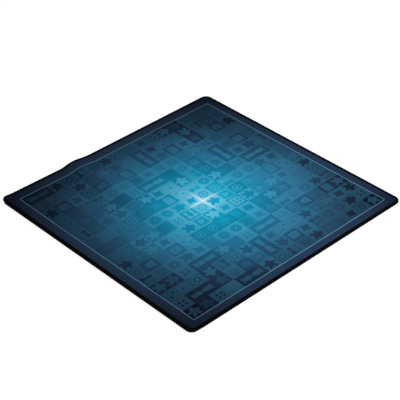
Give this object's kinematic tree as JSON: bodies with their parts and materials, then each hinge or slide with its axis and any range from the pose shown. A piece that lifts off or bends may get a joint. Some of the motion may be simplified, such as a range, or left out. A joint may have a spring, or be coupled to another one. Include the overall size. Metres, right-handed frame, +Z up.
{
  "type": "tabletop game mat",
  "caption": "Square rubber-backed cloth mat with rounded corners and an overlocked edge, laid flat on a table for board and card games.",
  "frame": {"origin": "centre of the underside, where the mat lies on the table", "axes": "+Z up through the cloth, +Y towards the top of the print, +X to the right of the print"},
  "size_m": [0.61, 0.61, 0.0051],
  "materials": {
    "rubber": "matte black foam rubber with a fine non-slip texture underneath",
    "adhesive": "milky hot-melt film",
    "cloth": "close-knit polyester with a soft sheen, printed in blues",
    "thread": "textured black polyester overlocking thread"
  },
  "bodies": {
    "root": {"rubber_base": "rubber", "adhesive_film": "adhesive", "printed_cloth": "cloth", "upper_looper_thread": "thread", "lower_looper_thread": "thread", "needle_thread": "thread"}
  },
  "joints": []
}
